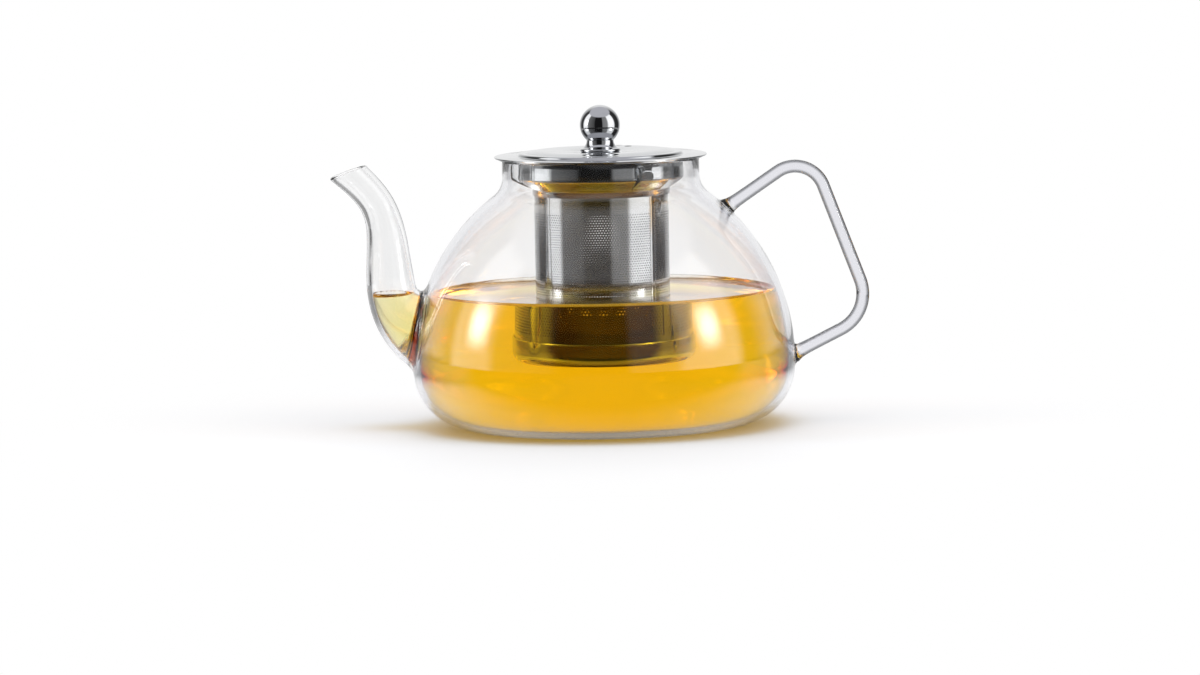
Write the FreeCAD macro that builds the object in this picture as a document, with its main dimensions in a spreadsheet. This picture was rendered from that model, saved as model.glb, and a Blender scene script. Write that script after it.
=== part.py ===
import FreeCAD, Part

import math
import os

import Sketcher

# Glass teapot with a lift-out steel infuser and a lift-off steel lid.
# Millimetres, +Z up. The origin is the centre of the base, on the surface that the pot stands on.
# The spout points along -X and the handle along +X.

DRIVING_SIZES = {
    # Blown glass body
    "belly_radius": 73.7,
    "belly_height": 25.0,
    "belly_arc": 80.3,
    "base_curve": 22.5,
    "glass_wall": 2.2,
    "neck_radius": 38.0,
    "neck_sweep": 9.0,
    "neck_length": 6.8,
    "rim_round": 0.7,
    # Glass spout: round sections, each set by its reach past the belly, height, radius and tilt
    "spout_wall": 1.8,
    "root_reach": -13.7,
    "root_height": 34.5,
    "root_radius": 15.0,
    "root_tilt": 79.0,
    "flare_reach": -4.7,
    "flare_height": 37.0,
    "flare_radius": 15.3,
    "flare_tilt": 78.0,
    "knee_reach": 4.95,
    "knee_height": 44.9,
    "knee_radius": 11.6,
    "knee_tilt": 53.8,
    "waist_reach": 8.4,
    "waist_height": 58.5,
    "waist_radius": 9.2,
    "waist_tilt": 9.4,
    "throat_reach": 9.1,
    "throat_height": 72.0,
    "throat_radius": 7.9,
    "throat_tilt": 0.0,
    "bend_reach": 12.5,
    "bend_height": 86.4,
    "bend_radius": 6.7,
    "bend_tilt": 18.0,
    "mouth_reach": 24.0,
    "mouth_height": 99.6,
    "mouth_radius": 7.6,
    "mouth_tilt": 18.4,
    # Bent glass rod handle
    "rod_radius": 2.5,
    "rod_bury": 6.0,
    "grip_top_height": 83.4,
    "grip_low_height": 26.3,
    "grip_peak_reach": 6.75,
    "grip_peak_height": 104.9,
    "grip_back_reach": 30.4,
    "grip_back_height": 41.4,
    "grip_peak_bend": 11.7,
    "grip_back_bend": 15.4,
    "weld_radius": 4.2,
    "weld_length": 5.0,
    # Steel infuser
    "infuser_sheet": 0.6,
    "flange_overhang": 1.5,
    "collar_gap": 3.7,
    "collar_depth": 7.4,
    "cone_depth": 4.6,
    "lip_lap": 3.0,
    "sieve_radius": 25.9,
    "sieve_sheet": 0.5,
    "sieve_fit": 0.05,
    "floor_gap": 22.8,
    "base_lap": 7.5,
    "base_corner": 3.0,
    "tongue_width": 5.2,
    "tongue_clear": 0.7,
    "tongue_drop": 3.2,
    "window_gap": 0.5,
    "window_sill": 0.9,
    "window_reach": 1.2,
    # Steel lid
    "lid_sheet": 0.6,
    "lid_overhang": 1.5,
    "skirt_gap": 0.7,
    "skirt_sheet": 0.6,
    "skirt_depth": 6.0,
    "crown_step": 1.2,
    "crown_shelf": 1.6,
    "crown_rise": 0.8,
    "crown_radius": 23.5,
    "dish_radius": 9.0,
    "dish_drop": 0.8,
    "vent_radius": 1.4,
    "vent_spread": 3.9,
    "vent_right": 10.8,
    "vent_back": 21.0,
    # Knob and its screw
    "ball_radius": 7.75,
    "ball_lift": 10.3,
    "foot_radius": 7.8,
    "foot_edge": 0.7,
    "foot_waist": 5.2,
    "foot_curve": 3.4,
    "screw_radius": 2.0,
    "screw_fit": 0.1,
    "screw_reach": 5.0,
    "screw_head": 3.6,
    "screw_head_height": 2.4,
    "washer_radius": 5.0,
    "washer_sheet": 0.8,
}

SHEET_NAME = "sizes"
FULL_TURN = 360.0
HALF_TURN = 180.0
RIGHT_ANGLE = 90.0
TONGUE_COUNT = 3
VENT_COUNT = 3

doc = FreeCAD.newDocument("glass_teapot")
sheet = doc.addObject("Spreadsheet::Sheet", SHEET_NAME)


class Size:
    """A size with its value now and the expression that ties it to the sheet."""

    def __init__(self, text, value):
        self.text = text
        self.value = value

    def __add__(self, other):
        other = as_size(other)
        return Size(f"({self.text} + {other.text})", self.value + other.value)

    def __sub__(self, other):
        other = as_size(other)
        return Size(f"({self.text} - {other.text})", self.value - other.value)

    def __mul__(self, other):
        other = as_size(other)
        return Size(f"({self.text} * {other.text})", self.value * other.value)

    def __truediv__(self, other):
        other = as_size(other)
        return Size(f"({self.text} / {other.text})", self.value / other.value)

    def __neg__(self):
        return Size(f"(0 - {self.text})", -self.value)


def as_size(number):
    """The number as a size, so that plain numbers and sizes mix."""
    return number if isinstance(number, Size) else Size(f"({number})", float(number))


def root_of(size):
    """The square root of a size."""
    return Size(f"sqrt({size.text})", math.sqrt(size.value))


def slope_of(across, up):
    """The angle of a direction above the horizontal, in degrees."""
    return Size(f"atan2({up.text}; {across.text}) / 1 deg", math.degrees(math.atan2(up.value, across.value)))


def fill_sheet():
    """Writes the driving sizes into the sheet and returns them by name."""
    sizes = {}
    for row, (name, number) in enumerate(DRIVING_SIZES.items(), start=1):
        sheet.set(f"A{row}", name)
        sheet.set(f"B{row}", str(number))
        sheet.setAlias(f"B{row}", name)
        sizes[name] = Size(f"{SHEET_NAME}.{name}", number)
    doc.recompute()
    return sizes


size = fill_sheet()
ZERO = as_size(0)


def origin_plane(body, role):
    """One of the body's own origin planes or axes."""
    return next(feature for feature in body.Origin.OriginFeatures if feature.Role == role)


def pin_point(sketch, curve, end, place):
    """Ties one end of a curve to its place in the sketch."""
    for kind, axis, distance in (("DistanceX", -2, place[0]), ("DistanceY", -1, place[1])):
        if distance is ZERO:
            sketch.addConstraint(Sketcher.Constraint("PointOnObject", curve, end, axis))
        else:
            index = sketch.addConstraint(Sketcher.Constraint(kind, -1, 1, curve, end, distance.value))
            sketch.setExpression(f"Constraints[{index}]", distance.text)


def arc_between(start, finish, radius, turn):
    """The shorter arc between two points, turning left for turn 1 and right for turn -1."""
    chord = finish - start
    height = math.sqrt(max(radius * radius - chord.Length * chord.Length / 4, 0.0))
    side = FreeCAD.Vector(-chord.y, chord.x, 0).normalize() * height * turn
    centre = (start + finish) / 2 + side
    first, last = (start, finish) if turn > 0 else (finish, start)
    angles = [math.atan2(point.y - centre.y, point.x - centre.x) for point in (first, last)]
    circle = Part.Circle(centre, FreeCAD.Vector(0, 0, 1), radius)
    return Part.ArcOfCircle(circle, angles[0], angles[1])


def draw_outline(body, name, corners):
    """A closed outline in the body's XZ plane.

    Each corner is (across, up), reached by a straight line, or (across, up, radius, turn), reached by an arc.
    """
    sketch = body.newObject("Sketcher::SketchObject", name)
    sketch.AttachmentSupport = (origin_plane(body, "XZ_Plane"), [""])
    sketch.MapMode = "FlatFace"
    places = [FreeCAD.Vector(corner[0].value, corner[1].value, 0) for corner in corners]
    ends = []
    for number, corner in enumerate(corners):
        start, finish = places[number - 1], places[number]
        if len(corner) == 2:
            curve = sketch.addGeometry(Part.LineSegment(start, finish))
            ends.append((curve, 1, 2))
        else:
            radius, turn = corner[2], corner[3]
            curve = sketch.addGeometry(arc_between(start, finish, radius.value, turn))
            ends.append((curve, 1, 2) if turn > 0 else (curve, 2, 1))
            index = sketch.addConstraint(Sketcher.Constraint("Radius", curve, radius.value))
            sketch.setExpression(f"Constraints[{index}]", radius.text)
    for number, corner in enumerate(corners):
        curve, _, finish = ends[number]
        follower, start, _ = ends[(number + 1) % len(corners)]
        sketch.addConstraint(Sketcher.Constraint("Coincident", curve, finish, follower, start))
        pin_point(sketch, curve, finish, corner)
    return sketch


def turned_piece(label, corners):
    """A piece of revolution about the pot's axis."""
    body = doc.addObject("PartDesign::Body", label)
    sketch = draw_outline(body, f"{label}_outline", corners)
    turning = body.newObject("PartDesign::Revolution", f"{label}_turning")
    turning.Profile = sketch
    turning.ReferenceAxis = (sketch, ["V_Axis"])
    turning.Angle = FULL_TURN
    body.Tip = turning
    doc.recompute()
    return body


def pattern_round(body, feature, axis, count):
    """Repeats a feature evenly about an axis."""
    pattern = body.newObject("PartDesign::PolarPattern", f"{feature.Name}_ring")
    pattern.Originals = [feature]
    pattern.Axis = axis
    pattern.Angle = FULL_TURN
    pattern.Occurrences = count
    body.Tip = pattern
    doc.recompute()


def turn_round(body, angle):
    """Turns a piece about the pot's axis."""
    turn = FreeCAD.Rotation(FreeCAD.Vector(0, 0, 1), angle)
    body.Placement = FreeCAD.Placement(FreeCAD.Vector(0, 0, 0), turn)


def place_by(thing, across, up, tilt):
    """Puts an object in the XZ plane at a place, tilted about Y by an angle in degrees."""
    turn = FreeCAD.Rotation(FreeCAD.Vector(0, 1, 0), tilt.value)
    thing.Placement = FreeCAD.Placement(FreeCAD.Vector(across.value, 0, up.value), turn)
    thing.setExpression("Placement.Base.x", across.text)
    thing.setExpression("Placement.Base.z", up.text)
    thing.setExpression("Placement.Rotation.Angle", tilt.text)


def combine(kind, label, base, tool):
    """A boolean of two objects, such as Part::Cut."""
    result = doc.addObject(kind, label)
    result.Base = base
    result.Tool = tool
    return result


# Heights and radii that several pieces share
arc_centre = size["belly_radius"] - size["belly_arc"]
sweep_centre = size["neck_radius"] + size["neck_sweep"]
sweep_run = sweep_centre - arc_centre
sweep_span = size["belly_arc"] + size["neck_sweep"]
sweep_rise = root_of(sweep_span * sweep_span - sweep_run * sweep_run)
sweep_height = size["belly_height"] + sweep_rise
rim_height = sweep_height + size["neck_length"]
neck_bore = size["neck_radius"] - size["glass_wall"]
flange_top = rim_height + size["infuser_sheet"]


def belly_radius_at(height):
    """The body's outer radius at a height on its main curve."""
    above = height - size["belly_height"]
    return arc_centre + root_of(size["belly_arc"] * size["belly_arc"] - above * above)


def glass_skin(inset):
    """The body's outline from the base to the neck, a distance inside the outer surface."""
    radius = size["belly_radius"] - inset
    base_curve = size["base_curve"] - inset
    belly_arc = size["belly_arc"] - inset
    neck_sweep = size["neck_sweep"] + inset
    shoulder = (
        arc_centre + sweep_run * belly_arc / sweep_span,
        size["belly_height"] + sweep_rise * belly_arc / sweep_span,
    )
    return {
        "base": (size["belly_radius"] - size["base_curve"], inset),
        "heel": (radius, size["base_curve"]),
        "belly": (radius, size["belly_height"]),
        "shoulder": shoulder,
        "neck": (size["neck_radius"] - inset, sweep_height),
        "base_curve": base_curve,
        "belly_arc": belly_arc,
        "neck_sweep": neck_sweep,
    }


def outer_corners():
    """The outside of the glass from the centre of the base to the foot of the rim's rounding."""
    skin = glass_skin(ZERO)
    return [
        (ZERO, ZERO),
        (skin["base"][0], ZERO),
        (*skin["heel"], skin["base_curve"], 1),
        skin["belly"],
        (*skin["shoulder"], skin["belly_arc"], 1),
        (*skin["neck"], skin["neck_sweep"], -1),
    ]


# Glass body: blown in a mould, with a flat base and a fire-polished rim
def make_glass_wall():
    rounding = size["rim_round"]
    skin = glass_skin(size["glass_wall"])
    rim_low = rim_height - rounding
    corners = outer_corners() + [
        (size["neck_radius"], rim_low),
        (size["neck_radius"] - rounding, rim_height, rounding, 1),
        (neck_bore + rounding, rim_height),
        (neck_bore, rim_low, rounding, 1),
        skin["neck"],
        (*skin["shoulder"], skin["neck_sweep"], 1),
        (*skin["belly"], skin["belly_arc"], -1),
        skin["heel"],
        (*skin["base"], skin["base_curve"], -1),
        (ZERO, size["glass_wall"]),
    ]
    return turned_piece("glass_wall_turned", corners)


# The space inside the outer glass surface, where the spout and handle end.
# It is turned so that the line where its surface closes is clear of both.
def make_glass_envelope():
    corners = outer_corners() + [(size["neck_radius"], rim_height), (ZERO, rim_height)]
    envelope = turned_piece("glass_envelope", corners)
    turn_round(envelope, RIGHT_ANGLE)
    return envelope


# Glass spout: a tube drawn to a waist, flared where it is welded over the hole in the belly
SPOUT_SECTIONS = ("root", "flare", "knee", "waist", "throat", "bend", "mouth")


def make_spout_tube(label, inset):
    rings = []
    for section in SPOUT_SECTIONS:
        ring = doc.addObject("Part::Circle", f"{label}_{section}")
        radius = size[f"{section}_radius"] - inset
        ring.Radius = radius.value
        ring.setExpression("Radius", radius.text)
        reach = -(size["belly_radius"] + size[f"{section}_reach"])
        place_by(ring, reach, size[f"{section}_height"], -size[f"{section}_tilt"])
        rings.append(ring)
    tube = doc.addObject("Part::Loft", label)
    tube.Sections = rings
    tube.Solid = True
    tube.Ruled = False
    return tube


# Glass handle: a solid rod bent twice, with a swelling at each weld
def make_handle_path(points, bends):
    path = doc.addObject("Sketcher::SketchObject", "handle_path")
    upright = FreeCAD.Rotation(FreeCAD.Vector(1, 0, 0), RIGHT_ANGLE)
    path.Placement = FreeCAD.Placement(FreeCAD.Vector(0, 0, 0), upright)
    spots = [FreeCAD.Vector(across.value, up.value, 0) for across, up in points]
    runs = []
    for before, after in zip(spots, spots[1:]):
        runs.append(path.addGeometry(Part.LineSegment(before, after)))
    for number in (1, 2):
        corner = path.addGeometry(Part.Point(spots[number]), True)
        pin_point(path, corner, 1, points[number])
        for run in (runs[number - 1], runs[number]):
            path.addConstraint(Sketcher.Constraint("PointOnObject", corner, 1, run))
    pin_point(path, runs[0], 1, points[0])
    pin_point(path, runs[2], 2, points[3])
    for number, bend in enumerate(bends):
        corner = spots[number + 1]
        back = (spots[number] - corner).normalize()
        ahead = (spots[number + 2] - corner).normalize()
        setback = bend.value / math.tan(back.getAngle(ahead) / 2)
        start, finish = corner + back * setback, corner + ahead * setback
        arc = path.addGeometry(arc_between(start, finish, bend.value, -1))
        path.addConstraint(Sketcher.Constraint("Tangent", runs[number], 2, arc, 2))
        path.addConstraint(Sketcher.Constraint("Tangent", runs[number + 1], 1, arc, 1))
        index = path.addConstraint(Sketcher.Constraint("Radius", arc, bend.value))
        path.setExpression(f"Constraints[{index}]", bend.text)
    doc.recompute()
    return path


def make_handle_rod():
    belly = size["belly_radius"]
    top = (belly_radius_at(size["grip_top_height"]), size["grip_top_height"])
    peak = (belly + size["grip_peak_reach"], size["grip_peak_height"])
    back = (belly + size["grip_back_reach"], size["grip_back_height"])
    low = (belly_radius_at(size["grip_low_height"]), size["grip_low_height"])
    ends = []
    welds = []
    for label, foot, corner in (("weld_top", top, peak), ("weld_low", low, back)):
        across, up = corner[0] - foot[0], corner[1] - foot[1]
        length = root_of(across * across + up * up)
        bury = size["rod_bury"] / length
        buried = (foot[0] - across * bury, foot[1] - up * bury)
        tilt = as_size(RIGHT_ANGLE) - slope_of(across, up)
        ends.append((buried, tilt))
        weld = doc.addObject("Part::Cone", label)
        weld.setExpression("Radius1", size["weld_radius"].text)
        weld.setExpression("Radius2", size["rod_radius"].text)
        weld.setExpression("Height", (size["rod_bury"] + size["weld_length"]).text)
        place_by(weld, *buried, tilt)
        welds.append(weld)
    bends = [size["grip_peak_bend"], size["grip_back_bend"]]
    path = make_handle_path([ends[0][0], peak, back, ends[1][0]], bends)
    ring = doc.addObject("Part::Circle", "handle_ring")
    ring.setExpression("Radius", size["rod_radius"].text)
    place_by(ring, *ends[0][0], ends[0][1])
    rod = doc.addObject("Part::Sweep", "handle_rod")
    rod.Sections = [ring]
    rod.Spine = (path, [f"Edge{number + 1}" for number in range(len(path.Shape.Edges))])
    rod.Solid = True
    rod.Frenet = False
    topped = combine("Part::Fuse", "handle_topped", rod, welds[0])
    return combine("Part::Fuse", "handle_welded", topped, welds[1])


def make_glass():
    wall = make_glass_wall()
    envelope = make_glass_envelope()
    tube = make_spout_tube("spout_tube", ZERO)
    bore = make_spout_tube("spout_bore", size["spout_wall"])
    rod = make_handle_rod()
    spout = combine("Part::Cut", "spout_hollow", tube, bore)
    return [
        combine("Part::Cut", "glass_body", wall, bore),
        combine("Part::Cut", "glass_spout", spout, envelope),
        combine("Part::Cut", "glass_handle", rod, envelope),
    ]


# Infuser collar: drawn from sheet, hung by its flange on the glass rim
collar_radius = neck_bore - size["collar_gap"]
collar_low = rim_height - size["collar_depth"]
cone_low = collar_low - size["cone_depth"]
lip_bore = size["sieve_radius"] + size["sieve_fit"]
lip_radius = lip_bore + size["infuser_sheet"]
lip_low = cone_low - size["lip_lap"]
flange_radius = size["neck_radius"] + size["flange_overhang"]


def make_infuser_collar():
    sheet_wall = size["infuser_sheet"]
    body = turned_piece("infuser_collar", [
        (flange_radius, rim_height),
        (flange_radius, flange_top),
        (collar_radius - sheet_wall, flange_top),
        (collar_radius - sheet_wall, collar_low),
        (lip_bore, cone_low),
        (lip_bore, lip_low),
        (lip_radius, lip_low),
        (lip_radius, cone_low),
        (collar_radius, collar_low),
        (collar_radius, rim_height),
    ])
    window_top = rim_height - size["tongue_drop"] + sheet_wall
    window_low = cone_low + size["window_sill"]
    window_inner = lip_radius - size["window_reach"]
    window_outer = collar_radius + sheet_wall
    window = draw_outline(body, "tongue_window_outline", [
        (window_inner, window_low),
        (window_outer, window_low),
        (window_outer, window_top),
        (window_inner, window_top),
    ])
    windows = body.newObject("PartDesign::Pocket", "tongue_window")
    windows.Profile = window
    windows.SideType = "Symmetric"
    windows.setExpression("Length", (size["tongue_width"] + size["window_gap"] * 2).text)
    doc.recompute()
    pattern_round(body, windows, (origin_plane(body, "Z_Axis"), [""]), TONGUE_COUNT)
    tip_radius = neck_bore - size["tongue_clear"]
    tip_height = rim_height - size["tongue_drop"]
    bend_radius = tip_radius - sheet_wall
    tongue = draw_outline(body, "tongue_outline", [
        (lip_bore, cone_low),
        (lip_radius, cone_low),
        (bend_radius, collar_low),
        (tip_radius, tip_height),
        (tip_radius - sheet_wall, tip_height),
        (bend_radius - sheet_wall, collar_low + sheet_wall),
    ])
    tongues = body.newObject("PartDesign::Pad", "tongue")
    tongues.Profile = tongue
    tongues.SideType = "Symmetric"
    tongues.setExpression("Length", size["tongue_width"].text)
    doc.recompute()
    pattern_round(body, tongues, (origin_plane(body, "Z_Axis"), [""]), TONGUE_COUNT)
    turn_round(body, HALF_TURN)
    return body


# Infuser sieve: perforated sheet rolled into a tube, held in the collar's lip above and the base cup below
base_low = size["glass_wall"] + size["floor_gap"]
base_bore = size["sieve_radius"] + size["sieve_fit"]
base_radius = base_bore + size["infuser_sheet"]


def make_infuser_sieve():
    inner = size["sieve_radius"] - size["sieve_sheet"]
    low = base_low + size["base_corner"]
    return turned_piece("infuser_sieve", [
        (inner, low),
        (size["sieve_radius"], low),
        (size["sieve_radius"], cone_low),
        (inner, cone_low),
    ])


# Infuser base: a pressed cup that closes the sieve's lower end
def make_infuser_base():
    sheet_wall = size["infuser_sheet"]
    corner = size["base_corner"]
    top = base_low + size["base_lap"]
    return turned_piece("infuser_base", [
        (ZERO, base_low),
        (base_radius - corner, base_low),
        (base_radius, base_low + corner, corner, 1),
        (base_radius, top),
        (base_bore, top),
        (base_bore, base_low + corner),
        (base_radius - corner, base_low + sheet_wall, corner - sheet_wall, -1),
        (ZERO, base_low + sheet_wall),
    ])


# Lid cover: a pressed disc whose crown is dished under the knob
skirt_radius = collar_radius - size["infuser_sheet"] - size["skirt_gap"]
skirt_bore = skirt_radius - size["skirt_sheet"]
lid_radius = flange_radius + size["lid_overhang"]
lid_top = flange_top + size["lid_sheet"]
shelf_top = lid_top + size["crown_step"]
crown_top = shelf_top + size["crown_rise"]
dish_top = crown_top - size["dish_drop"]
shelf_edge = skirt_radius + size["lid_sheet"]
shelf_end = skirt_radius - size["crown_shelf"]


def bow_radius(run, rise):
    """The radius of an arc that leaves level and rises by rise over run."""
    return (run * run + rise * rise) / (rise * 2)


def make_lid_cover():
    sheet_wall = size["lid_sheet"]
    climb = bow_radius(shelf_end - size["crown_radius"], size["crown_rise"])
    fall = bow_radius(size["crown_radius"] - size["dish_radius"], size["dish_drop"])
    screw_hole = size["screw_radius"] + size["screw_fit"]
    body = turned_piece("lid_cover", [
        (lid_radius, flange_top),
        (lid_radius, lid_top),
        (shelf_edge + sheet_wall, lid_top),
        (shelf_edge, shelf_top),
        (shelf_end, shelf_top),
        (size["crown_radius"], crown_top, climb, 1),
        (size["dish_radius"], dish_top, fall, 1),
        (screw_hole, dish_top),
        (screw_hole, dish_top - sheet_wall),
        (size["dish_radius"], dish_top - sheet_wall),
        (size["crown_radius"], crown_top - sheet_wall, fall, -1),
        (shelf_end, shelf_top - sheet_wall, climb, -1),
        (skirt_radius, shelf_top - sheet_wall),
        (shelf_edge, flange_top),
    ])
    vent_place = body.newObject("Sketcher::SketchObject", "vent_outline")
    vent_place.AttachmentSupport = (origin_plane(body, "XY_Plane"), [""])
    vent_place.MapMode = "FlatFace"
    vent_place.setExpression("AttachmentOffset.Base.x", size["vent_right"].text)
    vent_place.setExpression("AttachmentOffset.Base.y", size["vent_back"].text)
    spread, radius = size["vent_spread"], size["vent_radius"]
    ring = Part.Circle(FreeCAD.Vector(0, -spread.value, 0), FreeCAD.Vector(0, 0, 1), radius.value)
    circle = vent_place.addGeometry(ring)
    pin_point(vent_place, circle, 3, (ZERO, -spread))
    index = vent_place.addConstraint(Sketcher.Constraint("Radius", circle, radius.value))
    vent_place.setExpression(f"Constraints[{index}]", radius.text)
    vent = body.newObject("PartDesign::Pocket", "vent")
    vent.Profile = vent_place
    vent.Type = "ThroughAll"
    vent.Reversed = True
    doc.recompute()
    pattern_round(body, vent, (vent_place, ["N_Axis"]), VENT_COUNT)
    return body


# Lid skirt: a hoop under the crown's shelf, a loose fit in the infuser's collar
def make_lid_skirt():
    low = rim_height - size["skirt_depth"]
    top = shelf_top - size["lid_sheet"]
    return turned_piece("lid_skirt", [
        (skirt_bore, low),
        (skirt_radius, low),
        (skirt_radius, top),
        (skirt_bore, top),
    ])


# Knob: a polished ball on a flared foot, drawn down by a screw from inside the lid
ball_height = dish_top + size["ball_lift"]


def ball_height_at(radius):
    """The height of the ball's underside at a radius."""
    return ball_height - root_of(size["ball_radius"] * size["ball_radius"] - radius * radius)


def make_knob_foot():
    hole = size["screw_radius"] + size["screw_fit"]
    edge = size["foot_edge"]
    return turned_piece("knob_foot", [
        (hole, dish_top),
        (size["foot_radius"] - edge, dish_top),
        (size["foot_radius"], dish_top + edge, edge, 1),
        (size["foot_radius"] - edge, dish_top + edge * 2, edge, 1),
        (size["foot_waist"], ball_height_at(size["foot_waist"]), size["foot_curve"], -1),
        (hole, ball_height_at(hole), size["ball_radius"], -1),
    ])


def make_knob_ball():
    hole = size["screw_radius"] + size["screw_fit"]
    return turned_piece("knob_ball", [
        (hole, ball_height_at(hole)),
        (ZERO, ball_height + size["ball_radius"], size["ball_radius"], 1),
        (ZERO, ball_height_at(hole) + size["screw_reach"]),
        (hole, ball_height_at(hole) + size["screw_reach"]),
    ])


washer_top = dish_top - size["lid_sheet"]
washer_low = washer_top - size["washer_sheet"]


def make_knob_washer():
    hole = size["screw_radius"] + size["screw_fit"]
    return turned_piece("knob_washer", [
        (hole, washer_low),
        (size["washer_radius"], washer_low),
        (size["washer_radius"], washer_top),
        (hole, washer_top),
    ])


def make_knob_screw():
    head_low = washer_low - size["screw_head_height"]
    tip = ball_height_at(size["screw_radius"] + size["screw_fit"]) + size["screw_reach"] - size["screw_fit"]
    return turned_piece("knob_screw", [
        (ZERO, head_low),
        (size["screw_head"] - size["screw_fit"], head_low),
        (size["screw_head"], washer_low),
        (size["screw_radius"], washer_low),
        (size["screw_radius"], tip),
        (ZERO, tip),
    ])


def check_document(pieces):
    """Stops with a plain message if any object or finished solid is faulty."""
    for thing in doc.Objects:
        if "Invalid" in thing.State or "Error" in thing.State:
            raise RuntimeError(f"{thing.Label} failed to build: {thing.State}")
    for piece in pieces:
        if piece.Shape.isNull() or not piece.Shape.isValid() or len(piece.Shape.Solids) != 1:
            raise RuntimeError(f"{piece.Label} isn't one sound solid")


finished = make_glass() + [
    make_infuser_collar(),
    make_infuser_sieve(),
    make_infuser_base(),
    make_lid_cover(),
    make_lid_skirt(),
    make_knob_foot(),
    make_knob_ball(),
    make_knob_washer(),
    make_knob_screw(),
]
doc.recompute()
check_document(finished)
os.makedirs("parts", exist_ok=True)
for piece in finished:
    piece.Shape.exportStep(f"parts/{piece.Label}.step")
    print(f"{piece.Label}: {piece.Shape.Volume / 1000:.3f} cm3")
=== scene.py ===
import math

import bmesh
import bpy
import numpy as np
from mathutils import Matrix, Vector
from mathutils.kdtree import KDTree


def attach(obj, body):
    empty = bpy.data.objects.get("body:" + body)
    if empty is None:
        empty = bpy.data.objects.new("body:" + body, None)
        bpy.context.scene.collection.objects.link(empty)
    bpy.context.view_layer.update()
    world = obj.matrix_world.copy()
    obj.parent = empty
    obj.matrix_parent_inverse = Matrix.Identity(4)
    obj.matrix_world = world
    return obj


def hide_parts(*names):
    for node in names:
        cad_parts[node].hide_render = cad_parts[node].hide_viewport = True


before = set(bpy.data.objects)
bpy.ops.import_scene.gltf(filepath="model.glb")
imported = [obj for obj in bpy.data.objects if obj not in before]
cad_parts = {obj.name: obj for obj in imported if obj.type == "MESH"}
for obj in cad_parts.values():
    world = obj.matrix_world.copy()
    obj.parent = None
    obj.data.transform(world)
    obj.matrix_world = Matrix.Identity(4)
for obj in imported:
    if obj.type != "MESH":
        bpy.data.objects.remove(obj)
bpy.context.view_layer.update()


# Glass pot: borosilicate glass blown in a mould, flat under the base and fire-polished at the rim.
# The spout is a drawn tube over a hole in the belly and the handle a bent rod. Both are flame-welded on,
# so the glass runs together where they meet the pot.
MM = 0.001
GLASS_WALL = 2.2
BELLY_RADIUS, BELLY_HEIGHT, BELLY_ARC = 73.7, 25.0, 80.3
BASE_CURVE = 22.5
NECK_RADIUS, NECK_SWEEP = 38.0, 9.0
RIM_HEIGHT, RIM_ROUND = 103.22, 0.7
PAST_RIM = 4.0
SPOUT_WALL, LIP_FLAT = 1.8, 0.05
SPOUT_STATIONS = [
    # out, up, radius and tilt of each round section, from the hole in the belly to the mouth
    (-60.0, 34.5, 15.0, 79.0),
    (-69.0, 37.0, 15.3, 78.0),
    (-78.65, 44.9, 11.6, 53.8),
    (-82.1, 58.5, 9.2, 9.4),
    (-82.8, 72.0, 7.9, 0.0),
    (-86.2, 86.4, 6.7, 18.0),
    (-97.7, 99.6, 7.6, 18.4),
]
HANDLE_BENDS = [(48.5, 83.4, 0.0), (80.45, 104.9, 11.7), (104.1, 41.4, 15.4), (73.7, 26.3, 0.0)]
ROD_RADIUS = 2.5
ROD_NEAREST = (43.0, 47.0)
ROD_CLEAR = (0.5, 3.0)


def arc(centre, radius, start, end, steps):
    """Points along an arc, with its angles in degrees."""
    angles = [math.radians(start + (end - start) * n / steps) for n in range(steps + 1)]
    return [(centre[0] + radius * math.cos(a), centre[1] + radius * math.sin(a)) for a in angles]


def rounded(corners, steps=5):
    """Points along straight runs between (out, up, rounding) corners, each rounded by its own radius."""
    outline = []
    for number, (out, up, rounding) in enumerate(corners):
        corner = Vector((out, up))
        if rounding == 0:
            outline.append((out, up))
            continue
        before = (Vector(corners[number - 1][:2]) - corner).normalized()
        after = (Vector(corners[(number + 1) % len(corners)][:2]) - corner).normalized()
        half = before.angle(after) / 2
        middle = corner + (before + after).normalized() * rounding / math.sin(half)
        start, end = (corner + way * rounding / math.tan(half) - middle for way in (before, after))
        first = math.degrees(math.atan2(start.y, start.x))
        sweep = math.degrees(math.atan2(end.y, end.x)) - first
        sweep = (sweep + 180) % 360 - 180
        outline += arc(middle, rounding, first, first + sweep, steps)
    return outline


def even_turns(count):
    """Angles all round the axis, evenly spaced."""
    return [math.tau * n / count for n in range(count)]


def turned(outline, angles, closed=False):
    """Points and faces of an outline turned round the axis, up the outside and down an inside."""
    points, rings, faces = [], [], []
    for out, up in outline:
        if out == 0:
            rings.append([len(points)] * len(angles))
            points.append((0, 0, up))
        else:
            rings.append(range(len(points), len(points) + len(angles)))
            points += [(out * math.cos(a), out * math.sin(a), up) for a in angles]
    for low, high in zip(rings, rings[1:] + rings[:1] if closed else rings[1:]):
        for n in range(len(angles)):
            m = (n + 1) % len(angles)
            face = list(dict.fromkeys((low[n], low[m], high[m], high[n])))
            if len(face) > 2:
                faces.append(face)
    return points, faces


def lofted(rings):
    """Points and faces of a skin over rings of points, closed by a fan at each end."""
    sides = len(rings[0])
    points = [point for ring in rings for point in ring]
    faces = []
    for first in range(0, len(points) - sides, sides):
        for n in range(sides):
            m = (n + 1) % sides
            faces.append((first + n, first + m, first + sides + m, first + sides + n))
    last = len(points) - sides
    points += [np.mean(rings[0], axis=0), np.mean(rings[-1], axis=0)]
    for n in range(sides):
        m = (n + 1) % sides
        faces.append((len(points) - 2, m, n))
        faces.append((len(points) - 1, last + n, last + m))
    return points, faces


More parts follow.
